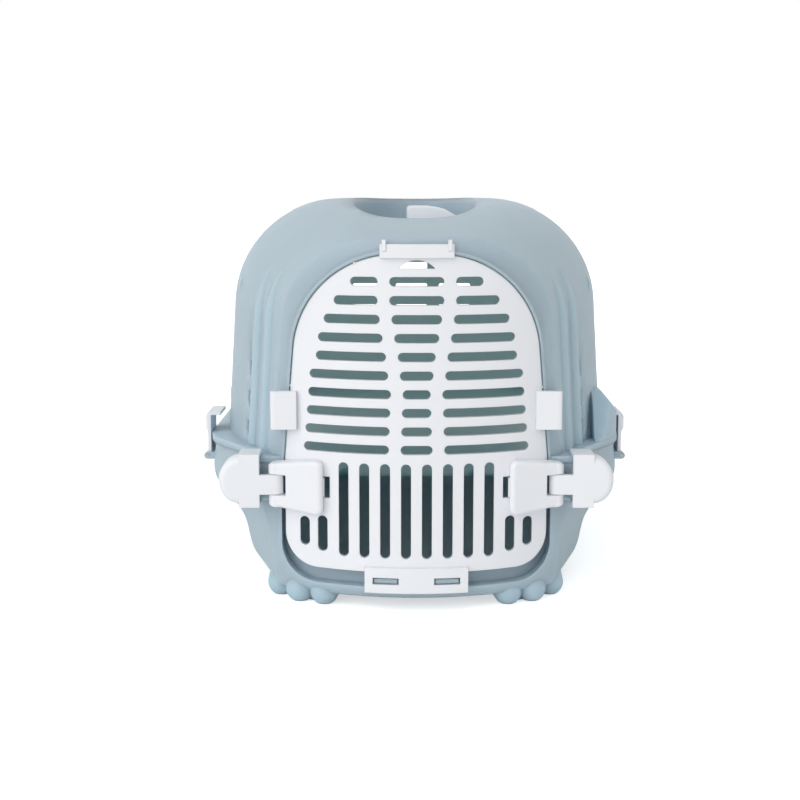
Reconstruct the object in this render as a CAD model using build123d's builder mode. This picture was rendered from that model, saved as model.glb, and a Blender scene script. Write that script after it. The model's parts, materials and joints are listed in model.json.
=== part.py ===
"""Two-part moulded pet carrier with a barred door, clasps, side clips and a folding handle.

Millimetres, +Z up. The door faces -Y and the floor is at Z = 0. The origin is on the floor,
under the middle of the carrier.
"""
import os
from math import cos, pi, radians, sin, sqrt, tan

from build123d import *

os.makedirs("parts", exist_ok=True)

# Overall sizes
length = 480.0
height = 302.0
side_half = 156.0
rim_half = 167.0
wall = 3.0
seam_z = 106.0
seam_gap = 0.2
flange_thickness = 5.0

# Nose: the door and the frame round it follow one upright cylinder
nose_radius = 168.0
nose_half = 102.0
nose_blend = 175.0
rear_half = 128.0
rear_blend = 110.0
rear_power = 2.2
rear_corner = 36.0
rear_brow = 30.0
front_brow = 6.0
rear_run = 80.0
rear_slope = 0.6
top_slope = 0.26
tab_stand = 3.6

# Crowned top of the upper shell
side_draft = 3.5
crown_radius = 1010.0
cross_crown = 4.0
shoulder_nose = 70.0
shoulder_side = 85.0

# Door
door_half = 97.5
door_shoulder_half = 84.0
door_bottom_z = 30.5
door_waist_z = 110.0
door_top_z = 262.0
door_arch = 76.0
door_foot_round = 24.0
door_thickness = 4.0
door_gap = 1.0
lip_width = 2.4
lip_stand = 1.4

# Slots of the door
slot_height = 6.7
slot_pitch = 13.5
slot_top_z = 242.8
slot_edge_margin = 14.0
spine_gap = 8.5
centre_slot_halves = (19.5, 19.5, 18.0, 16.0, 13.5, 12.0, 10.0, 10.5, 11.0, 11.5)
upright_slot_width = 7.2
upright_slot_pitch = 15.2
upright_slot_bottom_z = 40.6
upright_slot_top_z = 111.0
upright_slot_count = 8
short_slots = ((69.0, 43.0, 70.0), (82.5, 46.0, 68.0))
half_moon_half = 13.0
half_moon_z = 252.0
half_moon_rise = 6.0

# Door tabs
top_tab_half = 26.5
top_tab_z = 269.5
top_tab_ear = 3.0
bottom_tab_half = 38.0
bottom_tab_z = 15.5
tab_thickness = 3.2
tab_slot_centre = 22.5
tab_slot_length = 19.0
tab_slot_height = 5.0
tab_slot_z = 24.5
tab_lug_clearance = 1.0

# Door hinge axis, shared by the upper sleeves and the clasp pins
hinge_x = 104.0
hinge_stand = 10.5
pivot_rod_radius = 2.4
running_clearance = 0.35
sleeve_wall = 2.2
sleeve_bottom_z = 133.0
sleeve_top_z = 161.5
sleeve_wrap = 130.0
sleeve_arm_x = 88.0
sleeve_foot_x = 92.0
rod_web = 3.0

# Front clasps
plate_inner_x = 68.5
plate_inner_bottom_z = 70.4
plate_inner_top_z = 112.5
plate_outer_bottom_z = 76.0
plate_outer_top_z = 107.4
plate_stand = 9.0
plate_corner = 5.0
plate_edge = 3.0
knuckle_radius = 5.5
tongue_bottom_z = 84.0
tongue_top_z = 99.5
notch_clearance = 2.2
pin_radius = 1.8
bracket_inner_x = 116.0
bracket_outer_x = 131.5
bracket_bottom_z = 74.5
bracket_top_z = 114.5
bracket_back_y = -191.0
bracket_wall = 2.8
lug_clearance = 0.5
thumb_reach = 15.0
thumb_radius = 17.5
thumb_depth = 18.0
thumb_round = 5.0
window_x = 67.5
window_width = 8.0
window_z = 91.5
window_height = 16.0

# Side clips
clip_front_y = -78.0
clip_rear_y = 92.0
clip_width = 34.0
clip_thickness = 2.6
clip_top_z = 127.5
clip_lip = 8.0
clip_head = 4.8
clip_head_z = 112.0
clip_pivot_z = 92.0
clip_pivot_radius = 2.8
clip_pin_radius = 1.5
clip_clearance = 0.4
ear_width = 4.0

# Skirt: the flare at the foot of the upper shell's sides
skirt_knee_z = 127.0
skirt_top_z = 148.0
skirt_front_y = -108.0
skirt_rear_y = 125.0
skirt_fade = 45.0
rim_margin = 0.5

# Handle and its well
well_centre_y = -60.0
well_half_x = 48.0
well_half_y = 82.0
well_corner = 44.0
well_floor_z = 262.0
well_draft = 9.0
handle_pivot_z = 281.0
handle_reach = 27.0
handle_half_y = 62.0
handle_leg = 9.0
handle_grip_radius = 7.5
handle_chamfer = 1.5
handle_pin_radius = 3.0
handle_clearance = 0.4
handle_boss_radius = 9.0

# Lower shell
tub_floor_z = 9.0
floor_thickness = 4.0
seat_bottom_z = 18.5
seat_depth = 12.0
seat_overlap = 4.0
seat_round = 27.0

# Paw feet
foot_inner_x = 56.0
foot_outer_x = 112.0
foot_front_y = -210.0
foot_back_y = -140.0
foot_corner = 12.0
foot_top_z = 42.0
foot_levels = ((0.0, 5.0), (4.5, 1.5), (12.0, 0.0), (foot_top_z, -6.0))
toe_places = ((68.8, -208.0), (87.6, -200.0), (103.0, -182.0))
toe_radius = 10.8
toe_centre_z = 9.2
toe_tip_radius = 8.0
toe_length = 26.0
toe_lean_in = 0.1
toe_lean_back = 0.3

# Corner beads of the upper shell
bead_radius = 8.0
bead_stand = 3.0
bead_depths = (62.0, 86.0)
bead_top_z = 262.0
bead_foot_z = 112.0

# Side louvres and vents
louvre_pitch = 20.0
louvre_count = 5
louvre_low_z = 150.0
louvre_radius = 16.0
louvre_stand = 2.4
louvre_half_y = 105.0
vent_width = 22.0
vent_height = 7.0
vent_pitch = 34.0
vent_count = 4
vent_rows = 3
front_vent_y = -140.0
front_vent_z = 146.0
front_vent_pitch = 23.5
front_vent_count = 3
front_vent_width = 9.0
front_vent_height = 13.0

# Rear vents
rear_vent_width = 33.0
rear_vent_height = 9.0
rear_vent_pitch_x = 45.0
rear_vent_pitch_z = 22.0
rear_vent_top_z = 230.0
rear_vent_rows = 4
rear_vent_columns = 3

# Places worked out from the sizes above
front_y = -length / 2 + tab_stand
rear_y = length / 2
nose_centre_y = front_y + nose_radius
shell_length = rear_y - front_y
crown_middle = shell_length / 2


def nose_y(x, stand=0.0):
    """Y of the nose cylinder at x, with the surface moved out by stand."""
    return nose_centre_y - sqrt((nose_radius + stand) ** 2 - x ** 2)


hinge_y = nose_y(hinge_x) - hinge_stand
flange_top_z = seam_z + flange_thickness
seat_half = door_half + door_gap + lip_width


def smooth_step(value):
    """0 to 1, level at both ends."""
    value = min(max(value, 0.0), 1.0)
    return value * value * (3 - 2 * value)


def hood_half(depth):
    """Half width of the upper shell at its foot, at a depth behind the nose."""
    front = smooth_step(depth / nose_blend)
    rear_share = min((shell_length - depth) / rear_blend, 1)
    return (
        side_half
        - (side_half - nose_half) * (1 - front)
        - (side_half - rear_half) * (1 - rear_share) ** rear_power
    )


def hood_top(depth):
    """Height of the crowned top at a depth behind the nose."""
    return height - (depth - crown_middle) ** 2 / (2 * crown_radius)


def hood_shoulder(depth):
    """Radius between side and top at a depth behind the nose."""
    return shoulder_nose + (shoulder_side - shoulder_nose) * smooth_step(depth / nose_blend)


def hood_depths(inset):
    """Depths of the loft's sections, closer together over the nose."""
    steps = 8
    front = [nose_blend * step / steps for step in range(steps + 1)]
    middle = [crown_middle, shell_length - rear_blend]
    rear = [shell_length - rear_blend * (1 - step / 3) for step in (1, 2, 3)]
    depths = front + middle + rear
    return [inset] + depths[1:-1] + [shell_length - inset]


def hood_solid(inset, foot_z):
    """The hood as one closed solid, its skin moved in by inset."""
    with BuildPart() as solid:
        for depth in hood_depths(inset):
            half = hood_half(depth) - inset
            top = hood_top(depth) - inset
            lean = (top - foot_z) * tan(radians(side_draft))
            with BuildSketch(Plane.XZ.offset(-(front_y + depth))) as section:
                with BuildLine():
                    Line((-half, foot_z), (half, foot_z))
                    Line((half, foot_z), (half - lean, top - cross_crown))
                    ThreePointArc(
                        (half - lean, top - cross_crown), (0, top), (lean - half, top - cross_crown)
                    )
                    Line((lean - half, top - cross_crown), (-half, foot_z))
                make_face()
                fillet(section.vertices().group_by(Axis.Y)[-1], hood_shoulder(depth) - inset)
        loft()
        with BuildSketch(Plane.XY.offset(foot_z - 1)):
            with BuildLine():
                reach = 140.0
                wide = 2 * side_half
                arc_y = nose_y(reach, -inset)
                ThreePointArc((-reach, arc_y), (0, front_y + inset), (reach, arc_y))
                Polyline(
                    (reach, arc_y), (wide, arc_y), (wide, rear_y - rear_run),
                    (rear_half - inset + rear_run * rear_slope, rear_y - rear_run),
                    (rear_half - inset, rear_y - inset), (inset - rear_half, rear_y - inset),
                    (inset - rear_half - rear_run * rear_slope, rear_y - rear_run),
                    (-wide, rear_y - rear_run), (-wide, arc_y), (-reach, arc_y),
                )
            plan = make_face()
            fillet(plan.vertices().group_by(Axis.Y)[-1], rear_corner - inset)
        extrude(amount=2 * height, mode=Mode.INTERSECT)
        rear_top = hood_top(shell_length) - inset
        with BuildSketch(Plane.YZ):
            with BuildLine():
                Polyline(
                    (rear_y - inset, foot_z - 1), (rear_y - inset, rear_top),
                    (rear_y - inset - rear_run, rear_top + rear_run * top_slope),
                    (rear_y - inset - rear_run, 2 * height), (front_y - 1, 2 * height),
                    (front_y - 1, foot_z - 1), close=True,
                )
            profile = make_face()
            corner = [v for v in profile.vertices() if abs(v.Y - rear_top) < 0.01]
            fillet(corner, rear_brow - inset)
        extrude(amount=2 * side_half, both=True, mode=Mode.INTERSECT)
    return solid.part


def rim_outline(inset, skin=0.0, nose_inset=0.0):
    """Plan of the seam rim, narrowed by inset, with its skin moved in by skin."""
    corner_x = 118.0 - 0.35 * inset - 0.8 * skin
    corner_y = nose_y(corner_x, -skin) + nose_inset
    half = rim_half - inset - skin
    side_front_y = nose_y(118.0) + 78.0
    side_rear_y = rear_y - 90.0
    back_x = rear_half - 8.0 - 0.5 * inset
    back_y = rear_y - 0.8 * inset - skin
    with BuildSketch() as outline:
        with BuildLine():
            ThreePointArc(
                (-corner_x, corner_y), (0, front_y + skin + nose_inset), (corner_x, corner_y)
            )
            Polyline(
                (corner_x, corner_y), (half, side_front_y), (half, side_rear_y),
                (back_x, back_y), (-back_x, back_y), (-half, side_rear_y),
                (-half, side_front_y), (-corner_x, corner_y),
            )
        make_face()
        fillet([v for v in outline.vertices() if abs(abs(v.X) - half) < 0.01], 90)
        fillet([v for v in outline.vertices() if abs(v.Y - back_y) < 0.01], 40)
    return outline.sketch


def tub_solid(skin, floor_z, top_z):
    """The lower tub as one closed solid, its skin moved in by skin."""
    with BuildPart() as solid:
        for level, inset, nose_inset in tub_profile:
            if level < seam_z:
                level = max(level, floor_z) if level > tub_floor_z else floor_z
            else:
                level = top_z
            with BuildSketch(Plane.XY.offset(level)):
                add(rim_outline(inset, skin, nose_inset))
        loft()
    return solid.part


def door_outline(gap):
    """The arched outline of the door in X and Z, grown by gap."""
    with BuildSketch() as outline:
        with BuildLine():
            Polyline(
                (-door_half, door_bottom_z), (-door_half, door_waist_z),
                (-door_shoulder_half, door_top_z), (door_shoulder_half, door_top_z),
                (door_half, door_waist_z), (door_half, door_bottom_z),
                (-door_half, door_bottom_z),
            )
        make_face()
        fillet(outline.vertices().group_by(Axis.Y)[-1], door_arch)
        fillet(outline.vertices().group_by(Axis.Y)[0], door_foot_round)
        if gap:
            offset(amount=gap)
    return outline.sketch


def rectangle(x_low, x_high, z_low, z_high):
    """A rectangle from its limits."""
    with BuildSketch() as face:
        with Locations(((x_low + x_high) / 2, (z_low + z_high) / 2)):
            Rectangle(x_high - x_low, z_high - z_low)
    return face.sketch


def nose_panel(face, low_stand, high_stand):
    """A front-view face as a plate on the nose cylinder, between two stands."""
    reach = 12.0
    with BuildPart() as panel:
        with BuildSketch(Plane.XZ.offset(reach - front_y)):
            add(face)
        extrude(amount=-(nose_radius / 2 + reach))
        with BuildSketch(Plane.XY.offset(-1)):
            with Locations((0, nose_centre_y)):
                Circle(nose_radius + high_stand)
                Circle(nose_radius + low_stand, mode=Mode.SUBTRACT)
        extrude(amount=height, mode=Mode.INTERSECT)
    return panel.part


def block(x_low, x_high, y_low, y_high, z_low, z_high):
    """A box from its limits."""
    middle = ((x_low + x_high) / 2, (y_low + y_high) / 2, (z_low + z_high) / 2)
    with BuildPart() as solid:
        with Locations(middle):
            Box(x_high - x_low, y_high - y_low, z_high - z_low)
    return solid.part


def upright(radius, x, y, z_low, z_high):
    """An upright round bar."""
    with BuildPart() as solid:
        with BuildSketch(Plane.XY.offset(z_low)):
            with Locations((x, y)):
                Circle(radius)
        extrude(amount=z_high - z_low)
    return solid.part


def lengthwise(radius, x, z, y_low, y_high):
    """A round bar along Y."""
    with BuildPart() as solid:
        with BuildSketch(Plane.XZ.offset(-y_high)):
            with Locations((x, z)):
                Circle(radius)
        extrude(amount=y_high - y_low)
    return solid.part


def along_y(points, y_low, y_high):
    """A polygon in X and Z, drawn out along Y."""
    with BuildPart() as solid:
        with BuildSketch(Plane.XZ.offset(-y_high)):
            with BuildLine():
                Polyline(*points, close=True)
            make_face()
        extrude(amount=y_high - y_low)
    return solid.part


def both_sides(solid):
    """A solid and its mirror image across the middle."""
    return [solid, mirror(solid, about=Plane.YZ)]


# Lower shell
clip_x = rim_half + clip_clearance
clip_axis_x = clip_x + clip_pivot_radius
clip_places = (clip_front_y, clip_rear_y)
lug_outer_x = bracket_outer_x - bracket_wall - lug_clearance
lug_front_y = hinge_y + knuckle_radius + 1.0
lug_back_y = nose_y(118.0) + 20.0
lug_bottom_z = bracket_bottom_z + bracket_wall + lug_clearance


def palm_outline(inset):
    """Plan of a foot's palm, drawn in by inset."""
    with BuildSketch() as outline:
        with BuildLine():
            Polyline(
                (foot_inner_x, foot_back_y), (foot_inner_x, foot_front_y),
                (foot_inner_x + 22, foot_front_y + 2), (foot_outer_x - 14, foot_front_y + 15),
                (foot_outer_x, foot_front_y + 38), (foot_outer_x, foot_back_y), close=True,
            )
        make_face()
        fillet(outline.vertices(), foot_corner)
        if inset:
            offset(amount=-inset)
    return outline.sketch


def toe(x, y):
    """One toe: a ball on the floor that leans back into the leg."""
    lean = Plane(origin=(x, y, toe_centre_z), z_dir=(-toe_lean_in, toe_lean_back, 1))
    with BuildPart(lean) as solid:
        Sphere(toe_radius)
        Cone(
            toe_radius, toe_tip_radius, toe_length, align=(Align.CENTER, Align.CENTER, Align.MIN)
        )
    return solid.part


def foot():
    """The front right paw: a palm that runs up into the tub, and three toes round its corner."""
    with BuildPart() as paw:
        for level, inset in foot_levels:
            with BuildSketch(Plane.XY.offset(level)):
                add(palm_outline(inset))
        loft(ruled=True)
        for place in toe_places:
            add(toe(*place))
        split(bisect_by=Plane.XY, keep=Keep.TOP)
    return paw.part


def seat_outline(grow, top_z):
    """Front view of the seat round the lower half of the door, with its edge moved out by grow."""
    half = seat_half + grow
    with BuildSketch() as outline:
        add(rectangle(-half, half, seat_bottom_z - grow, top_z))
        fillet(outline.vertices().group_by(Axis.Y)[0], seat_round + grow)
    return outline.sketch


tub_profile = (
    (seam_z, 0.0, 0.0),
    (86.0, 1.0, 0.0),
    (70.0, 5.5, 0.0),
    (53.0, 21.0, 0.0),
    (31.0, 30.0, 0.0),
    (16.0, 35.0, 2.0),
    (tub_floor_z, 44.0, 9.0),
)
rim_z = seam_z - seam_gap / 2

with BuildPart() as lower_shell:
    add(tub_solid(0.0, tub_floor_z, rim_z))
    for paw in (foot(), mirror(foot(), about=Plane.XZ)):
        add(both_sides(paw))
    lug = block(hinge_x - 6, lug_outer_x, lug_front_y, lug_back_y, lug_bottom_z, rim_z)
    add(both_sides(lug))
    add(tub_solid(wall, tub_floor_z + floor_thickness, seam_z + 5), mode=Mode.SUBTRACT)
    add(nose_panel(seat_outline(wall, rim_z), -seat_depth - wall, -wall))
    with BuildSketch() as seat:
        add(seat_outline(0.0, seam_z + 5))
        add(
            rectangle(-bottom_tab_half, bottom_tab_half, 0, door_bottom_z - door_gap),
            mode=Mode.SUBTRACT,
        )
    add(nose_panel(seat.sketch, -seat_depth, 8), mode=Mode.SUBTRACT)
    add(nose_panel(door_outline(-seat_overlap), -60, 8), mode=Mode.SUBTRACT)
    with BuildSketch() as lug_faces:
        with Locations((-tab_slot_centre, tab_slot_z), (tab_slot_centre, tab_slot_z)):
            Rectangle(
                tab_slot_length - 2 * tab_lug_clearance, tab_slot_height - 2 * tab_lug_clearance
            )
    add(nose_panel(lug_faces.sketch, -2, tab_stand - 1))
    for place in clip_places:
        for end in (-1, 1):
            ear_y = place + end * (clip_width / 2 + clip_clearance + ear_width / 2)
            ear = block(
                rim_half - 4, clip_axis_x, ear_y - ear_width / 2, ear_y + ear_width / 2,
                clip_pivot_z - clip_pivot_radius, clip_pivot_z + clip_pivot_radius,
            )
            add(both_sides(ear))
            post = lengthwise(
                clip_pivot_radius, clip_axis_x, clip_pivot_z,
                ear_y - ear_width / 2, ear_y + ear_width / 2,
            )
            add(both_sides(post))
        hole = lengthwise(
            clip_pin_radius + 0.1, clip_axis_x, clip_pivot_z, place - clip_width, place + clip_width
        )
        add(both_sides(hole), mode=Mode.SUBTRACT)
lower_shell.part.label = "lower_shell"
export_step(lower_shell.part, "parts/lower_shell.step")

# Upper shell

def well_solid(skin):
    """The handle well, its walls moved out by skin."""
    with BuildPart() as solid:
        with BuildSketch(Plane.XY.offset(height + 10)):
            with Locations((0, well_centre_y)):
                rise = (height + 10 - well_floor_z) * tan(radians(well_draft))
                RectangleRounded(
                    2 * (well_half_x + rise / 3 + skin), 2 * (well_half_y + rise / 3 + skin),
                    well_corner + skin,
                )
        extrude(amount=-(height + 10 - well_floor_z + skin), taper=well_draft)
        fillet(solid.faces().sort_by(Axis.Z)[0].edges(), 8)
    return solid.part


def bead(depth):
    """A corner bead: an upright bar on the hood's corner that bends in over the shoulder."""
    y = front_y + depth
    half = hood_half(depth)
    top = hood_top(depth)
    lean = tan(radians(side_draft))
    foot_x = half + bead_stand - bead_radius
    shoulder = hood_shoulder(depth) - bead_radius + bead_stand
    knee_z = top - hood_shoulder(depth) - cross_crown
    knee_x = foot_x - (knee_z - seam_z) * lean
    with BuildPart() as solid:
        with BuildLine() as route:
            rise = Line((foot_x, y, bead_foot_z - 6), (knee_x, y, knee_z))
            turn = 72.0
            centre_x = knee_x - shoulder * cos(radians(side_draft))
            centre_z = knee_z - shoulder * sin(radians(side_draft))
            middle, last = radians(side_draft + turn / 2), radians(side_draft + turn)
            ThreePointArc(
                rise @ 1,
                (centre_x + shoulder * cos(middle), y, centre_z + shoulder * sin(middle)),
                (centre_x + shoulder * cos(last), y, centre_z + shoulder * sin(last) - 4),
            )
        with BuildSketch(Plane(origin=rise @ 0, z_dir=rise % 0)):
            Circle(bead_radius)
        sweep()
    return solid.part


def louvre(level):
    """A side louvre: a long shallow swelling that fades into the wall at both ends."""
    middle_y = (clip_front_y + clip_rear_y) / 2
    wall_x = side_half - (level - seam_z) * tan(radians(side_draft))
    crest_x = wall_x + louvre_stand - louvre_radius
    with BuildPart() as solid:
        with BuildLine() as route:
            arc = ThreePointArc(
                (crest_x - 9, middle_y - louvre_half_y, level), (crest_x, middle_y, level),
                (crest_x - 9, middle_y + louvre_half_y, level),
            )
        with BuildSketch(Plane(origin=arc @ 0, z_dir=arc % 0)):
            Circle(louvre_radius)
        sweep()
    return solid.part


def on_nose_edge(edge):
    """Whether an edge of the hood runs round its front face, above the seam."""
    middle = edge @ 0.5
    stand = sqrt(middle.X ** 2 + (middle.Y - nose_centre_y) ** 2) - nose_radius
    return abs(stand) < 0.3 and middle.Z > flange_top_z


def frame_lip():
    """The raised lip round the door opening, above the seam."""
    with BuildPart() as lip:
        add(nose_panel(door_outline(door_gap + lip_width), -wall, lip_stand))
        add(block(-200, 200, -300, -100, 0, seam_z + seam_gap / 2), mode=Mode.SUBTRACT)
        add(nose_panel(door_outline(door_gap), -nose_radius / 3, 8), mode=Mode.SUBTRACT)
    return lip.part


def skirt():
    """The flare of both side walls down to the rim, which the side clips grip."""
    with BuildPart() as flare:
        with BuildSketch(Plane.XY.offset(seam_z + seam_gap / 2)):
            add(rim_outline(rim_margin))
        extrude(amount=skirt_top_z - seam_z)
        with BuildSketch(Plane.XZ):
            for side in (-1, 1):
                with BuildLine():
                    Polyline(
                        (side * (side_half - 14), seam_z), (side * rim_half, seam_z),
                        (side * rim_half, skirt_knee_z),
                        (side * (side_half - 6), skirt_top_z),
                        (side * (side_half - 14), skirt_top_z), close=True,
                    )
                make_face()
        extrude(amount=length, both=True, mode=Mode.INTERSECT)
        with BuildSketch(Plane.YZ):
            with BuildLine():
                Spline(
                    (skirt_front_y - skirt_fade, flange_top_z - 3), (skirt_front_y, skirt_top_z),
                    tangents=((1, 0), (1, 0)),
                )
                Line((skirt_front_y, skirt_top_z), (skirt_rear_y, skirt_top_z))
                Spline(
                    (skirt_rear_y, skirt_top_z), (skirt_rear_y + skirt_fade, flange_top_z - 3),
                    tangents=((1, 0), (1, 0)),
                )
                Polyline(
                    (skirt_rear_y + skirt_fade, flange_top_z - 3),
                    (skirt_rear_y + skirt_fade, seam_z), (skirt_front_y - skirt_fade, seam_z),
                    (skirt_front_y - skirt_fade, flange_top_z - 3),
                )
            make_face()
        extrude(amount=2 * rim_half, both=True, mode=Mode.INTERSECT)
    return flare.part


def clip_notch(place):
    """The notch in the skirt for a side clip's lip."""
    notch_half = clip_width / 2 + 2 * clip_clearance
    return block(
        clip_x - clip_lip - 3, clip_x + 10, place - notch_half, place + notch_half,
        clip_top_z - clip_thickness - clip_clearance, skirt_top_z + 1,
    )


def side_vents():
    """Oval vents through both side walls, in rows between the louvres."""
    middle_y = (clip_front_y + clip_rear_y) / 2
    middle_z = louvre_low_z + louvre_pitch * vent_rows / 2
    with BuildPart() as cut:
        with BuildSketch(Plane.YZ):
            with Locations((middle_y, middle_z)):
                with GridLocations(vent_pitch, louvre_pitch, vent_count, vent_rows):
                    SlotOverall(vent_width, vent_height)
            with Locations((front_vent_y, front_vent_z)):
                with GridLocations(1, front_vent_pitch, 1, front_vent_count):
                    SlotOverall(front_vent_height, front_vent_width, rotation=90)
        extrude(amount=2 * side_half, both=True)
    return cut.part


def rear_vents():
    """The grid of vents through the rear wall."""
    middle_z = rear_vent_top_z - rear_vent_pitch_z * (rear_vent_rows - 1) / 2
    with BuildPart() as cut:
        with BuildSketch(Plane.XZ.offset(-rear_y - 5)):
            with Locations((0, middle_z)):
                with GridLocations(
                    rear_vent_pitch_x, rear_vent_pitch_z, rear_vent_columns, rear_vent_rows
                ):
                    RectangleRounded(rear_vent_width, rear_vent_height, 2)
        extrude(amount=40)
    return cut.part


def well_bosses():
    """Bosses on the well's end walls that carry the handle's pins."""
    bosses = []
    for end in (-1, 1):
        wall_y = well_centre_y + end * (well_half_y + 2)
        leg_y = well_centre_y + end * (handle_half_y + handle_clearance)
        bosses.append(
            lengthwise(
                handle_boss_radius, 0, handle_pivot_z, min(wall_y, leg_y), max(wall_y, leg_y)
            )
        )
    return bosses


def handle_pin(end, radius):
    """The bar of a handle pin: from the boss into the handle's leg."""
    root_y = well_centre_y + end * (well_half_y - 4)
    tip_y = well_centre_y + end * (handle_half_y - handle_leg + 1)
    return lengthwise(radius, 0, handle_pivot_z, min(root_y, tip_y), max(root_y, tip_y))


rod_bottom_z = sleeve_bottom_z + 1.5
rod_top_z = sleeve_top_z - 1.5

with BuildPart() as upper_shell:
    add(hood_solid(0.0, seam_z + seam_gap / 2))
    brow = upper_shell.edges().filter_by(on_nose_edge)
    fillet(brow, front_brow)
    with BuildSketch(Plane.XY.offset(seam_z + seam_gap / 2)):
        add(rim_outline(0.0))
    extrude(amount=flange_top_z - seam_z - seam_gap / 2)
    for depth in bead_depths:
        add(both_sides(bead(depth)))
    for number in range(louvre_count):
        add(both_sides(louvre(louvre_low_z + louvre_pitch * number)))
    add(skirt())
    add(
        both_sides(
            block(
                hinge_x - 6, lug_outer_x, lug_front_y, lug_back_y,
                seam_z + seam_gap / 2, flange_top_z,
            )
        )
    )
    for place in clip_places:
        add(both_sides(clip_notch(place)), mode=Mode.SUBTRACT)
    add(hood_solid(wall, seam_z - 1), mode=Mode.SUBTRACT)
    add(nose_panel(door_outline(door_gap), -nose_radius / 3, 8), mode=Mode.SUBTRACT)
    add(frame_lip())
    with BuildPart() as cup:
        add(well_solid(wall))
        add(hood_solid(0.5, seam_z), mode=Mode.INTERSECT)
    add(cup.part)
    add(well_solid(0.0), mode=Mode.SUBTRACT)
    add(well_bosses())
    for end in (-1, 1):
        add(handle_pin(end, handle_pin_radius + 0.05), mode=Mode.SUBTRACT)
    add(both_sides(upright(pivot_rod_radius, -hinge_x, hinge_y, rod_bottom_z, rod_top_z)))
    add(
        both_sides(
            block(
                -hinge_x - rod_web / 2, -hinge_x + rod_web / 2, hinge_y, nose_y(hinge_x) + 1.5,
                rod_bottom_z + 1.5, rod_top_z - 1.5,
            )
        )
    )
    add(side_vents(), mode=Mode.SUBTRACT)
    add(rear_vents(), mode=Mode.SUBTRACT)
shell_solid = upper_shell.part.solids().sort_by(SortBy.VOLUME)[-1]
shell_solid.label = "upper_shell"
export_step(shell_solid, "parts/upper_shell.step")

# Door
arch_centre_x = door_shoulder_half - door_arch
arch_centre_z = door_top_z - door_arch


def door_half_at(level):
    """Half width of the door at a height, along its side line and its arch."""
    taper = (door_half - door_shoulder_half) / (door_top_z - door_waist_z)
    side = door_half - taper * max(level - door_waist_z, 0)
    if level <= arch_centre_z:
        return side
    arch = arch_centre_x + 3 + sqrt(max(door_arch ** 2 - (level - arch_centre_z) ** 2, 0))
    return min(side, arch)


def grille_openings():
    """Every slot of the door as one front-view face."""
    with BuildSketch() as face:
        for row, centre_half in enumerate(centre_slot_halves):
            level = slot_top_z - slot_pitch * row
            with Locations((0, level)):
                SlotOverall(2 * centre_half, slot_height)
            inner = centre_half + spine_gap
            outer = door_half_at(level) - slot_edge_margin
            for side in (-1, 1):
                with Locations((side * (inner + outer) / 2, level)):
                    SlotOverall(outer - inner, slot_height)
        upright_length = upright_slot_top_z - upright_slot_bottom_z
        with Locations((0, (upright_slot_top_z + upright_slot_bottom_z) / 2)):
            with GridLocations(upright_slot_pitch, 1, upright_slot_count, 1):
                SlotOverall(upright_length, upright_slot_width, rotation=90)
        for place, low, high in short_slots:
            for side in (-1, 1):
                with Locations((side * place, (low + high) / 2)):
                    SlotOverall(high - low, upright_slot_width, rotation=90)
        for side in (-1, 1):
            with Locations((side * window_x, window_z)):
                Rectangle(window_width, window_height)
    with BuildSketch() as moon:
        with BuildLine():
            ThreePointArc(
                (-half_moon_half, half_moon_z), (0, half_moon_z + half_moon_rise),
                (half_moon_half, half_moon_z),
            )
            Line((half_moon_half, half_moon_z), (-half_moon_half, half_moon_z))
        make_face()
    return [face.sketch, moon.sketch]


def tab_windows(clearance):
    """The two slots of the bottom tab, drawn in by clearance."""
    with BuildSketch() as faces:
        with Locations((-tab_slot_centre, tab_slot_z), (tab_slot_centre, tab_slot_z)):
            Rectangle(tab_slot_length - 2 * clearance, tab_slot_height - 2 * clearance)
    return faces.sketch


def sleeve():
    """The left sleeve: a hook round the shell's rod, and its arm on the door."""
    outer = pivot_rod_radius + running_clearance + sleeve_wall
    far = 4 * outer
    end = radians(sleeve_wrap)
    with BuildPart() as solid:
        with BuildSketch(Plane.XY.offset(sleeve_bottom_z)):
            with Locations((-hinge_x, hinge_y)):
                Circle(outer)
            with BuildLine():
                Polyline(
                    (-hinge_x, hinge_y), (far - hinge_x, hinge_y),
                    (far - hinge_x, hinge_y + far), (-far - hinge_x, hinge_y + far),
                    (-far - hinge_x, hinge_y),
                    (far * cos(end) - hinge_x, hinge_y - far * sin(end)), close=True,
                )
            make_face(mode=Mode.SUBTRACT)
            with BuildLine():
                Polyline(
                    (-hinge_x, hinge_y - outer), (-sleeve_arm_x, hinge_y - outer),
                    (-sleeve_arm_x, nose_y(sleeve_arm_x) + 1),
                    (-sleeve_foot_x, nose_y(sleeve_foot_x) + 1),
                    (-sleeve_foot_x - 0.5, nose_y(sleeve_foot_x + 0.5, lip_stand + 0.8)),
                    (-hinge_x + outer, hinge_y), (-hinge_x, hinge_y), close=True,
                )
            make_face()
            with Locations((-hinge_x, hinge_y)):
                Circle(pivot_rod_radius + running_clearance, mode=Mode.SUBTRACT)
        extrude(amount=sleeve_top_z - sleeve_bottom_z)
    return solid.part


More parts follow.
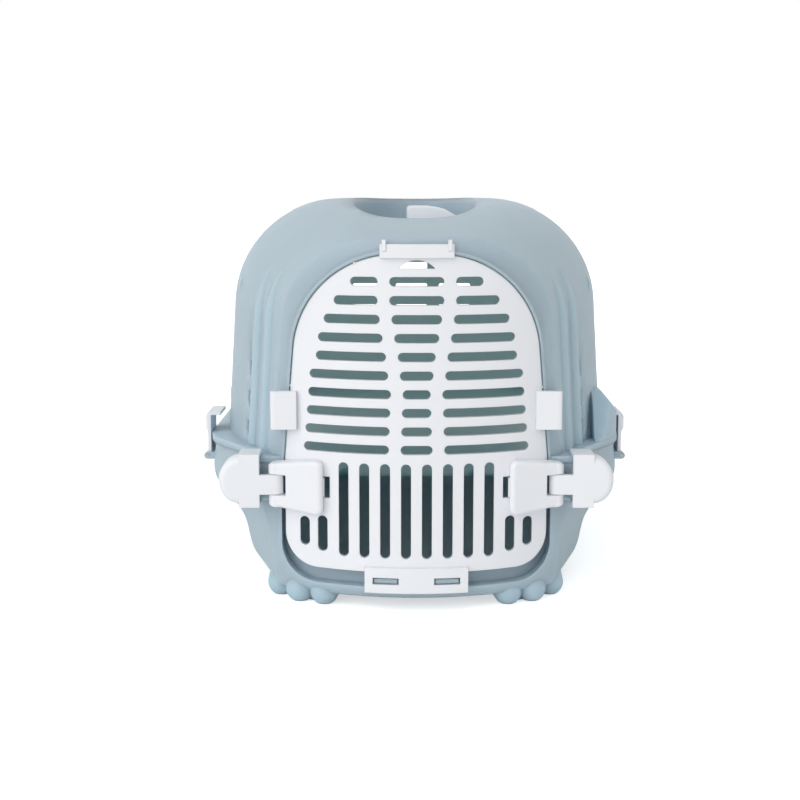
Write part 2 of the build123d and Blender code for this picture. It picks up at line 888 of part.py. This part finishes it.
with BuildPart() as door_grille:
    with BuildSketch() as door_face:
        add(door_outline(0.0))
        add(grille_openings(), mode=Mode.SUBTRACT)
    add(nose_panel(door_face.sketch, -door_thickness, 0.0))
    lap = tab_stand - tab_thickness
    add(nose_panel(rectangle(-top_tab_half, top_tab_half, 259.5, door_top_z - 0.2), -2, tab_stand))
    add(
        nose_panel(
            rectangle(-top_tab_half, top_tab_half, door_top_z - 1, top_tab_z), lip_stand + 0.3,
            tab_stand,
        )
    )
    for side in (-1, 1):
        ear_x = side * (top_tab_half - top_tab_ear)
        add(
            nose_panel(
                rectangle(ear_x - 1.5, ear_x + 1.5, top_tab_z - 5, top_tab_z + top_tab_ear),
                lip_stand + 0.3, tab_stand + 0.8,
            )
        )
    tab_face = rectangle(-bottom_tab_half, bottom_tab_half, bottom_tab_z, door_bottom_z + 4)
    add(nose_panel(tab_face, lap, tab_stand))
    add(
        nose_panel(
            rectangle(-bottom_tab_half, bottom_tab_half, door_bottom_z, door_bottom_z + 4),
            -2, tab_stand,
        )
    )
    add(nose_panel(tab_windows(0.0), -10, 10), mode=Mode.SUBTRACT)
    add(both_sides(sleeve()))
door_grille.part.label = "door_grille"
export_step(door_grille.part, "parts/door_grille.step")


# Front clasps
def clasp_plate():
    """The left clasp plate: a rounded block on the door with the two outer knuckles."""
    front_outer_y = hinge_y - knuckle_radius
    front_inner_y = nose_y(plate_inner_x) - plate_stand
    edge_x = door_half - 0.5
    with BuildPart() as plate:
        with BuildSketch(Plane.XY.offset(plate_inner_bottom_z - 1)):
            with BuildLine():
                Polyline(
                    (-plate_inner_x, front_inner_y), (-plate_inner_x, nose_y(plate_inner_x) + 3),
                    (-edge_x, nose_y(edge_x) + 2), (-edge_x, hinge_y + knuckle_radius),
                    (-hinge_x, hinge_y + knuckle_radius), (-hinge_x, front_outer_y), close=True,
                )
            make_face()
            with Locations((-hinge_x, hinge_y)):
                Circle(knuckle_radius)
        extrude(amount=plate_inner_top_z - plate_inner_bottom_z + 2)
        with BuildSketch(Plane.XZ.offset(-front_y + 20)):
            outer_x = hinge_x + knuckle_radius + 1
            with BuildLine():
                Polyline(
                    (-plate_inner_x, plate_inner_bottom_z), (-plate_inner_x, plate_inner_top_z),
                    (-outer_x, plate_outer_top_z), (-outer_x, plate_outer_bottom_z), close=True,
                )
            corners = make_face()
            fillet(corners.vertices(), plate_corner)
        extrude(amount=-100, mode=Mode.INTERSECT)
        front = plate.faces().sort_by(Axis.Y)[0]
        fillet(front.edges().sort_by(Axis.X)[1:], plate_edge)
        with BuildSketch(Plane.XY.offset(0)):
            with Locations((0, nose_centre_y)):
                Circle(nose_radius + 0.2)
        extrude(amount=height, mode=Mode.SUBTRACT)
        with BuildSketch(Plane.XY.offset(0)):
            with Locations((0, nose_centre_y)):
                Circle(nose_radius + lip_stand + 0.5)
            with Locations((nose_radius - door_half + 1, nose_centre_y)):
                Rectangle(2 * nose_radius, 3 * nose_radius, mode=Mode.SUBTRACT)
        extrude(amount=height, mode=Mode.SUBTRACT)
        add(
            block(
                -hinge_x - 20, -hinge_x + knuckle_radius + notch_clearance, hinge_y - 20,
                hinge_y + 20, tongue_bottom_z, tongue_top_z,
            ),
            mode=Mode.SUBTRACT,
        )
        add(
            upright(pin_radius + 0.05, -hinge_x, hinge_y, 0, plate_outer_top_z - 3),
            mode=Mode.SUBTRACT,
        )
        add(
            block(
                -window_x - window_width / 2 + 0.6, -window_x, nose_y(window_x) - 2,
                nose_y(window_x) + door_thickness + 1.5, window_z - window_height / 2 + 1,
                window_z + window_height / 2 - 1,
            )
        )
    return plate.part


def on_dome_front(edge):
    """Whether an edge is the front rim of the left lever's thumb dome."""
    middle = edge @ 0.5
    return abs(middle.Y - hinge_y + knuckle_radius) < 0.01 and middle.X < -bracket_outer_x - 1


def clasp_lever():
    """The left clasp lever: its tongue, its bracket round the lug and its thumb knob."""
    front_y_face = hinge_y - knuckle_radius
    bottom, top = bracket_bottom_z, bracket_top_z
    with BuildPart() as lever:
        with BuildSketch(Plane.XY.offset(tongue_bottom_z + running_clearance)):
            with Locations((-hinge_x, hinge_y)):
                Circle(knuckle_radius)
            with BuildLine():
                Polyline(
                    (-hinge_x, front_y_face), (-hinge_x, hinge_y + 3),
                    (-bracket_inner_x - 2, hinge_y + 3), (-bracket_inner_x - 2, front_y_face),
                    close=True,
                )
            make_face()
        extrude(amount=tongue_top_z - tongue_bottom_z - 2 * running_clearance)
        shell_box = block(
            -bracket_outer_x, -bracket_inner_x, front_y_face, bracket_back_y, bottom, top
        )
        add(shell_box)
        add(
            block(
                -bracket_outer_x + bracket_wall, 0, front_y_face + bracket_wall + 2.0, 0,
                bottom + bracket_wall, top - bracket_wall,
            ),
            mode=Mode.SUBTRACT,
        )
        middle_z = (bottom + top) / 2
        with BuildSketch(Plane.XZ.offset(-front_y_face)):
            with Locations((-bracket_outer_x, middle_z)):
                Ellipse(thumb_reach, thumb_radius)
            with Locations((-bracket_outer_x + thumb_reach / 2 + 1, middle_z)):
                Rectangle(thumb_reach, 2 * thumb_radius + 2, mode=Mode.SUBTRACT)
        extrude(amount=-thumb_depth)
        add(upright(pin_radius + running_clearance, -hinge_x, hinge_y, 0, height),
            mode=Mode.SUBTRACT)
        dome = lever.edges().filter_by(on_dome_front)
        fillet(dome, thumb_round)
    return lever.part


plate_left = clasp_plate()
lever_left = clasp_lever()
pin_left = upright(pin_radius, -hinge_x, hinge_y, plate_outer_bottom_z + 1, plate_outer_top_z - 3.2)

# Side clips
def side_clip(place):
    """A right-hand side clip: its barrel, a thin strap, and a thick head with a lip."""
    low_y, high_y = place - clip_width / 2, place + clip_width / 2
    head_x = clip_x + clip_head
    strap_x = clip_x + clip_thickness
    with BuildPart() as clip:
        add(
            along_y(
                (
                    (clip_x, clip_pivot_z), (clip_x, clip_top_z - clip_thickness),
                    (clip_x - clip_lip, clip_top_z - clip_thickness),
                    (clip_x - clip_lip, clip_top_z), (head_x - 2.5, clip_top_z),
                    (head_x, clip_top_z - 3.5), (head_x, clip_head_z + 2),
                    (head_x - 1.5, clip_head_z), (strap_x, clip_head_z - 2),
                    (strap_x, clip_pivot_z),
                ),
                low_y, high_y,
            )
        )
        add(lengthwise(clip_pivot_radius, clip_axis_x, clip_pivot_z, low_y, high_y))
        add(
            lengthwise(
                clip_pin_radius + running_clearance, clip_axis_x, clip_pivot_z, low_y, high_y
            ),
            mode=Mode.SUBTRACT,
        )
        head = clip.edges().filter_by(Axis.Z).filter_by(lambda edge: edge.center().X > head_x - 0.1)
        chamfer(head, 2)
    return clip.part


def side_clip_pin(place):
    """The pin of a right-hand side clip, through both ears."""
    reach = clip_width / 2 + clip_clearance + ear_width
    return lengthwise(clip_pin_radius, clip_axis_x, clip_pivot_z, place - reach, place + reach)


# Handle
def carry_handle():
    """The folding handle, lying to +X: a grip along Y and a leg at each end."""
    with BuildPart() as handle:
        for end in (-1, 1):
            outer_y = well_centre_y + end * handle_half_y
            inner_y = well_centre_y + end * (handle_half_y - handle_leg)
            leg_plane = Plane.XZ.offset(-max(outer_y, inner_y))
            with BuildSketch(leg_plane):
                with Locations((0, handle_pivot_z)):
                    Circle(handle_boss_radius)
                with Locations((handle_reach, handle_pivot_z)):
                    Circle(handle_grip_radius)
                with BuildLine():
                    Polyline(
                        (0, handle_pivot_z + handle_boss_radius),
                        (handle_reach, handle_pivot_z + handle_grip_radius),
                        (handle_reach, handle_pivot_z - handle_grip_radius),
                        (0, handle_pivot_z - handle_boss_radius), close=True,
                    )
                make_face()
            extrude(amount=handle_leg)
        rims = handle.edges().filter_by(Plane.XZ)
        chamfer(rims, handle_chamfer)
        add(
            lengthwise(
                handle_grip_radius, handle_reach, handle_pivot_z,
                well_centre_y - handle_half_y + handle_leg / 2,
                well_centre_y + handle_half_y - handle_leg / 2,
            )
        )
        for end in (-1, 1):
            add(handle_pin(end, handle_pin_radius + 0.15), mode=Mode.SUBTRACT)
    return handle.part


def keep(name, solid):
    """Label a finished piece and write it."""
    solid.label = name
    export_step(solid, f"parts/{name}.step")


for side_name, turn in (("left", False), ("right", True)):
    for stem, solid in (("plate", plate_left), ("lever", lever_left), ("pin", pin_left)):
        placed = mirror(solid, about=Plane.YZ) if turn else solid
        keep(f"latch_{stem}_{side_name}", placed)

for end_name, place in (("front", clip_front_y), ("rear", clip_rear_y)):
    for side_name, turn in (("right", False), ("left", True)):
        for stem, maker in (("side_clip", side_clip), ("side_clip_pin", side_clip_pin)):
            solid = maker(place)
            placed = mirror(solid, about=Plane.YZ) if turn else solid
            keep(f"{stem}_{side_name}_{end_name}", placed)

keep("carry_handle", carry_handle())
keep("handle_pin_front", handle_pin(-1, handle_pin_radius))
keep("handle_pin_rear", handle_pin(1, handle_pin_radius))
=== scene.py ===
import json
import math

import bmesh
import bpy
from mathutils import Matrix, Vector


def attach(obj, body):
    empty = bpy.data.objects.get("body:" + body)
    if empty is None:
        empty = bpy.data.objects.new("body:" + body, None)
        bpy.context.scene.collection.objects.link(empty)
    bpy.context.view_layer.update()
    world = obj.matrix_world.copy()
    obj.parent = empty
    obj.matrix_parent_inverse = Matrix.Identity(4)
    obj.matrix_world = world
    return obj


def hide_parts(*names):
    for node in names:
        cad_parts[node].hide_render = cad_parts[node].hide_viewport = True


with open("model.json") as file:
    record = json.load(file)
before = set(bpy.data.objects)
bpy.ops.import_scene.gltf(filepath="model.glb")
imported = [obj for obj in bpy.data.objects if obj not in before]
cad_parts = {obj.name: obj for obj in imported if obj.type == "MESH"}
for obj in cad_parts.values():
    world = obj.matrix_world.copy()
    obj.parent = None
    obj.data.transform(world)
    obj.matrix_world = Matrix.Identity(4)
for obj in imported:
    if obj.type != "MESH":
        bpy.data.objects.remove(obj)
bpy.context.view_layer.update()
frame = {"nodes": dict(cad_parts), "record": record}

# The photograph's camera, in metres and degrees
camera_x = -0.012
camera_y = -1.223
camera_height = 0.303
camera_pitch = 8.35
focal_px = 1390.0
frame_px = 800.0
sensor_mm = 36.0

# Colours as sRGB shares of 255
shell_rgb = (172, 195, 207)
white_rgb = (236, 238, 242)
steel_rgb = (186, 188, 190)
floor_rgb = (250, 250, 250)

# Plastic: shares of the colour in its clouds, noise scales, then reliefs in metres
cloud_dark = 0.975
cloud_light = 1.02
cloud_scale = 9
gloss_scale = 45
sink_scale = 16
skin_scale = 2400
sink_strength = 0.25
sink_depth = 0.0012
skin_depth = 0.0001
edge_round = 0.0009
plastic_shine = 0.4
through_tint = (0.8, 1.0, 0.92)

# Steel: noise scale, then the roughness of its brightest and dullest lines
wire_scale = 900
wire_smooth = 0.22
wire_rough = 0.42

# Floor and white surround: size in metres, light as a share of full white
floor_size = 60
floor_rough = 0.9
floor_glow = 0.55
surround_light = 0.55
surround_seen = 1.0

# The crowned top of the hood
crown_top = 0.302
crown_y = 0.0018
crown_radius = 1.010
cross_crown = 0.004
cross_half = 0.13

# The dished handle well, as the photograph shows its front lip
dish_y = -0.055
dish_half_x = 0.0505
dish_front = 0.120
dish_rear = 0.108
dish_floor_z = 0.2625
dish_power = 2.5
dish_draft = 0.05
dish_toe = 0.07
dish_fall = 0.8
dish_wall = 0.003
dish_rim = 0.0004
dish_clearance = 0.0004
dish_lap = 0.0012
dish_rows = 14
dish_turns = 96
lid_rise = 0.02

# The handle as it lies folded
handle_y = -0.060
handle_axis_z = 0.281
handle_axis_reach = 0.081
handle_inner_reach = 0.053
handle_reach_x = 0.027
handle_top_z = 0.2947
grip_radius = 0.0078
cheek_radius = 0.0084
hub_radius = 0.0088
hub_drop = 0.009
cheek_flat_x = 0.012
cheek_fall_x = 0.022
cheek_fall = 0.0015
cheek_back_x = -0.0062
cheek_corner = 0.002
cheek_low = 0.004
grip_bury = 0.004
handle_round = 0.0014

# The posts that hold the handle's pins
post_half_x = 0.008
post_radius = 0.0049
post_knee_z = 0.279
post_sink = 0.001
post_gap = 0.0005
post_front = 0.012
post_rear = 0.014
post_round = 0.0008

# Edges that fold by more than this many degrees are rounded
sharp_fold = 35


def linear(rgb):
    """Scene-linear RGBA of an sRGB colour given as 0 to 255."""
    shares = [value / 255 for value in rgb]
    curve = [s / 12.92 if s <= 0.04045 else ((s + 0.055) / 1.055) ** 2.4 for s in shares]
    return (*curve, 1.0)


def new_material(name):
    """A node material with its Principled shader."""
    material = bpy.data.materials.new(name)
    material.use_nodes = True
    return material, material.node_tree.nodes, material.node_tree.links


def noise(nodes, links, vector, scale, detail):
    """A noise texture over object coordinates."""
    node = nodes.new("ShaderNodeTexNoise")
    node.inputs["Scale"].default_value = scale
    node.inputs["Detail"].default_value = detail
    links.new(vector, node.inputs["Vector"])
    return node.outputs["Fac"]


def spread(nodes, links, value, low, high):
    """The middle half of a noise mapped to a range."""
    node = nodes.new("ShaderNodeMapRange")
    node.inputs["From Min"].default_value = 0.25
    node.inputs["From Max"].default_value = 0.75
    node.inputs["To Min"].default_value = low
    node.inputs["To Max"].default_value = high
    links.new(value, node.inputs["Value"])
    return node.outputs["Result"]


def bump(nodes, links, height, normal, strength, distance):
    """Relief from a height, over a normal."""
    node = nodes.new("ShaderNodeBump")
    node.inputs["Strength"].default_value = strength
    node.inputs["Distance"].default_value = distance
    links.new(height, node.inputs["Height"])
    links.new(normal, node.inputs["Normal"])
    return node.outputs["Normal"]


def moulded(name, rgb, gloss, grain, glow, depth):
    """Injection-moulded plastic: faint cloudiness, fine mould grain, sink marks and soft edges."""
    material, nodes, links = new_material(name)
    shader = nodes["Principled BSDF"]
    place = nodes.new("ShaderNodeTexCoord").outputs["Object"]

    shade = nodes.new("ShaderNodeMix")
    shade.data_type = "RGBA"
    base = linear(rgb)[:3]
    shade.inputs["A"].default_value = (*[value * cloud_dark for value in base], 1)
    shade.inputs["B"].default_value = (*[min(value * cloud_light, 1) for value in base], 1)
    links.new(noise(nodes, links, place, cloud_scale, 3), shade.inputs["Factor"])
    links.new(shade.outputs["Result"], shader.inputs["Base Color"])

    patches = noise(nodes, links, place, gloss_scale, 4)
    rough = spread(nodes, links, patches, gloss - 0.04, gloss + 0.05)
    links.new(rough, shader.inputs["Roughness"])
    shader.inputs["Specular IOR Level"].default_value = plastic_shine
    shader.inputs["Subsurface Weight"].default_value = glow
    shader.inputs["Subsurface Radius"].default_value = through_tint
    shader.inputs["Subsurface Scale"].default_value = depth

    soft_edge = nodes.new("ShaderNodeBevel")
    soft_edge.samples = 4
    soft_edge.inputs["Radius"].default_value = edge_round
    hollows = noise(nodes, links, place, sink_scale, 1)
    sink = bump(nodes, links, hollows, soft_edge.outputs["Normal"], sink_strength, sink_depth)
    grains = noise(nodes, links, place, skin_scale, 2)
    skin = bump(nodes, links, grains, sink, grain, skin_depth)
    links.new(skin, shader.inputs["Normal"])
    return material


def steel_wire(name, rgb):
    """Drawn steel with fine lines along the pin."""
    material, nodes, links = new_material(name)
    shader = nodes["Principled BSDF"]
    place = nodes.new("ShaderNodeTexCoord").outputs["Object"]
    shader.inputs["Base Color"].default_value = linear(rgb)
    shader.inputs["Metallic"].default_value = 1.0
    lines = noise(nodes, links, place, wire_scale, 2)
    rough = spread(nodes, links, lines, wire_smooth, wire_rough)
    links.new(rough, shader.inputs["Roughness"])
    return material


materials = {
    "shell_plastic": moulded("shell_plastic", shell_rgb, 0.46, 0.35, 0.65, 0.02),
    "white_plastic": moulded("white_plastic", white_rgb, 0.36, 0.2, 0.1, 0.003),
    "pin_steel": steel_wire("pin_steel", steel_rgb),
}


def dress(node, slot):
    """Give a CAD node the material of its slot."""
    data = frame["nodes"][node].data
    data.materials.clear()
    data.materials.append(materials[slot])


def hood_z(x, y):
    """Height of the upper shell's crowned top."""
    along = (y - crown_y) ** 2 / (2 * crown_radius)
    return crown_top - along - cross_crown * (x / cross_half) ** 2


def dish_point(turn, share, grow):
    """A point of the dish: turn goes round it, share from its rim (0) to its floor's edge (1)."""
    cosine, sine = math.cos(turn), math.sin(turn)
    length = dish_front if sine < 0 else dish_rear
    drawn = 1 - dish_draft * share - dish_toe * share ** 4
    x = math.copysign(abs(cosine) ** (2 / dish_power), cosine) * (dish_half_x * drawn + grow)
    y = math.copysign(abs(sine) ** (2 / dish_power), sine) * (length * drawn + grow) + dish_y
    return x, y


def dish_rings(grow, rim_lift, floor_z):
    """Rings of the dish from its rim down to the edge of its floor."""
    rings = []
    for row in range(dish_rows + 1):
        share = row / dish_rows
        ring = []
        for step in range(dish_turns):
            turn = 2 * math.pi * step / dish_turns
            x, y = dish_point(turn, share, grow)
            rim_z = hood_z(*dish_point(turn, 0, grow)) + rim_lift
            ring.append((x, y, rim_z + (floor_z - rim_z) * share ** dish_fall))
        rings.append(ring)
    return rings


def ring_faces(mesh, rings, flip=False):
    """Join rings of points into a band of faces and return their vertices."""
    rows = [[mesh.verts.new(point) for point in ring] for ring in rings]
    for upper, lower in zip(rows, rows[1:]):
        for step in range(len(upper)):
            after = (step + 1) % len(upper)
            corners = [upper[step], upper[after], lower[after], lower[step]]
            mesh.faces.new(corners[::-1] if flip else corners)
    return rows


def finished(mesh, name, slot):
    """Turn a bmesh into a smooth object with its material."""
    bmesh.ops.recalc_face_normals(mesh, faces=mesh.faces)
    for face in mesh.faces:
        face.smooth = True
    data = bpy.data.meshes.new(name)
    mesh.to_mesh(data)
    mesh.free()
    obj = bpy.data.objects.new(name, data)
    bpy.context.scene.collection.objects.link(obj)
    obj.data.materials.append(materials[slot])
    return obj


def dish_cutter():
    """The hollow of the dish, open upwards, as a closed solid."""
    mesh = bmesh.new()
    rings = dish_rings(dish_clearance, 0, dish_floor_z - dish_clearance)
    lid = [(x, y, crown_top + lid_rise) for x, y, z in rings[0]]
    rows = ring_faces(mesh, [lid] + rings)
    mesh.faces.new(rows[0])
    mesh.faces.new(rows[-1])
    return finished(mesh, "dish_cutter", "shell_plastic")


def make_dish():
    """The dish's own skin, three millimetres thick, under the cut in the hood."""
    mesh = bmesh.new()
    inner = dish_rings(0, -dish_rim, dish_floor_z)
    outer = dish_rings(dish_wall, -dish_rim - dish_lap, dish_floor_z - dish_wall)
    rows = ring_faces(mesh, inner)
    under = ring_faces(mesh, outer, flip=True)
    mesh.faces.new(rows[-1])
    mesh.faces.new(under[-1])
    for step in range(dish_turns):
        after = (step + 1) % dish_turns
        mesh.faces.new([rows[0][step], under[0][step], under[0][after], rows[0][after]])
    dish = finished(mesh, "handle_well", "shell_plastic")
    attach(dish, "shell")


def cut(obj, cutter):
    """Take a cutter's solid away from a piece."""
    step = obj.modifiers.new("cut", "BOOLEAN")
    step.operation = "DIFFERENCE"
    step.solver = "EXACT"
    step.object = cutter
    graph = bpy.context.evaluated_depsgraph_get()
    cut_mesh = bpy.data.meshes.new_from_object(obj.evaluated_get(graph))
    obj.modifiers.clear()
    obj.data = cut_mesh
    bpy.data.objects.remove(cutter)


def make_hood():
    """The upper shell with the dished well in place of the plain one."""
    hood = bpy.data.objects.new("hood", frame["nodes"]["upper_shell"].data.copy())
    bpy.context.scene.collection.objects.link(hood)
    cut(hood, dish_cutter())
    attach(hood, "shell")
    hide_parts("upper_shell")


def bar_along_y(points, low_y, high_y, mesh):
    """Draw an outline in X and Z out along Y into a mesh."""
    near = [mesh.verts.new((x, low_y, z)) for x, z in points]
    far = [mesh.verts.new((x, high_y, z)) for x, z in points]
    mesh.faces.new(near)
    mesh.faces.new(far[::-1])
    for step in range(len(points)):
        after = (step + 1) % len(points)
        mesh.faces.new([near[step], far[step], far[after], near[after]])


def arc(centre_x, centre_z, radius, start, end, steps):
    """Points of an arc in X and Z, in degrees."""
    turns = [math.radians(start + (end - start) * step / steps) for step in range(steps + 1)]
    return [(centre_x + radius * math.cos(t), centre_z + radius * math.sin(t)) for t in turns]


def soften(obj, width, segments):
    """Round a piece's edges."""
    step = obj.modifiers.new("round", "BEVEL")
    step.width = width
    step.segments = segments
    step.limit_method = "ANGLE"
    step.angle_limit = math.radians(sharp_fold)
    step.harden_normals = True


def make_handle():
    """The folded carry handle: a round grip and a thick moulded cheek at each end."""
    mesh = bmesh.new()
    axis = handle_axis_z
    cheek = [
        (cheek_back_x, axis - cheek_low),
        (cheek_back_x, handle_top_z - cheek_corner),
        (cheek_back_x + cheek_corner, handle_top_z),
        (cheek_flat_x, handle_top_z),
        (cheek_fall_x, handle_top_z - cheek_fall),
    ]
    cheek += arc(handle_reach_x, axis, cheek_radius, 60, -90, 10)
    cheek += [(cheek_flat_x, axis - hub_drop), (0.0, axis - hub_radius)]
    cheek += arc(0.0, axis, hub_radius, -100, -150, 3)
    for end in (-1, 1):
        limits = (handle_y + end * handle_axis_reach, handle_y + end * handle_inner_reach)
        bar_along_y(cheek, min(limits), max(limits), mesh)
    reach = handle_inner_reach + grip_bury
    grip = arc(handle_reach_x, axis, grip_radius, 0, 350, 35)
    bar_along_y(grip, handle_y - reach, handle_y + reach, mesh)
    handle = finished(mesh, "handle_moulding", "white_plastic")
    soften(handle, handle_round, 3)
    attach(handle, "handle")
    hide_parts("carry_handle")


def make_bosses():
    """The low posts in the dish that hold the handle's pins."""
    mesh = bmesh.new()
    foot_z = dish_floor_z - post_sink
    post = [(-post_half_x, foot_z), (post_half_x, foot_z), (post_radius, post_knee_z)]
    post += arc(0.0, handle_axis_z, post_radius, 0, 180, 12) + [(-post_radius, post_knee_z)]
    for end, length in ((-1, post_front), (1, post_rear)):
        near = handle_y + end * (handle_axis_reach + post_gap)
        limits = (near, near + end * length)
        bar_along_y(post, min(limits), max(limits), mesh)
    bosses = finished(mesh, "handle_posts", "shell_plastic")
    soften(bosses, post_round, 2)
    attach(bosses, "shell")


def make_camera():
    """The camera at the photograph's place and angle."""
    data = bpy.data.cameras.new("camera")
    data.sensor_width = sensor_mm
    data.lens = focal_px / frame_px * sensor_mm
    camera = bpy.data.objects.new("camera", data)
    camera.location = (camera_x, camera_y, camera_height)
    camera.rotation_euler = (math.radians(90 - camera_pitch), 0, 0)
    bpy.context.scene.collection.objects.link(camera)
    bpy.context.scene.camera = camera


def make_floor():
    """A wide pale floor that keeps the shadow."""
    bpy.ops.mesh.primitive_plane_add(size=floor_size)
    floor = bpy.context.object
    floor.name = "floor"
    material, nodes, links = new_material("floor")
    shader = nodes["Principled BSDF"]
    shader.inputs["Base Color"].default_value = linear(floor_rgb)
    shader.inputs["Roughness"].default_value = floor_rough
    shader.inputs["Emission Color"].default_value = (1, 1, 1, 1)
    seen = nodes.new("ShaderNodeLightPath").outputs["Is Camera Ray"]
    glow = nodes.new("ShaderNodeMath")
    glow.operation = "MULTIPLY"
    glow.inputs[1].default_value = floor_glow
    links.new(seen, glow.inputs[0])
    links.new(glow.outputs[0], shader.inputs["Emission Strength"])
    floor.data.materials.append(material)


def sun(name, toward, spread_angle, strength):
    """A soft distant lamp that shines along a direction."""
    data = bpy.data.lights.new(name, "SUN")
    data.angle = math.radians(spread_angle)
    data.energy = strength
    lamp = bpy.data.objects.new(name, data)
    lamp.rotation_euler = Vector(toward).to_track_quat("-Z", "Y").to_euler()
    bpy.context.scene.collection.objects.link(lamp)


def make_light():
    """Soft studio light, mostly from the upper left, and a white surround."""
    sun("key", (0.75, 0.9, -0.55), 60, 1.35)
    sun("fill", (-0.8, 0.7, -0.4), 70, 0.2)
    sun("top", (0.1, -0.1, -1), 60, 0.15)
    world = bpy.context.scene.world or bpy.data.worlds.new("world")
    bpy.context.scene.world = world
    world.use_nodes = True
    nodes, links = world.node_tree.nodes, world.node_tree.links
    nodes.clear()
    path = nodes.new("ShaderNodeLightPath")
    rays = path.outputs["Is Camera Ray"]
    for name in ("Is Glossy Ray", "Is Transmission Ray"):
        either = nodes.new("ShaderNodeMath")
        either.operation = "MAXIMUM"
        links.new(rays, either.inputs[0])
        links.new(path.outputs[name], either.inputs[1])
        rays = either.outputs[0]
    level = nodes.new("ShaderNodeMapRange")
    level.inputs["To Min"].default_value = surround_light
    level.inputs["To Max"].default_value = surround_seen
    links.new(rays, level.inputs["Value"])
    surround = nodes.new("ShaderNodeBackground")
    surround.inputs["Color"].default_value = (1, 1, 1, 1)
    links.new(level.outputs["Result"], surround.inputs["Strength"])
    output = nodes.new("ShaderNodeOutputWorld")
    links.new(surround.outputs[0], output.inputs["Surface"])


for part in frame["record"]["subparts"]:
    dress(part["node"], part["material_slot"])
make_hood()
make_dish()
make_bosses()
make_handle()
make_camera()
make_floor()
make_light()
bpy.context.scene.view_settings.view_transform = "Standard"
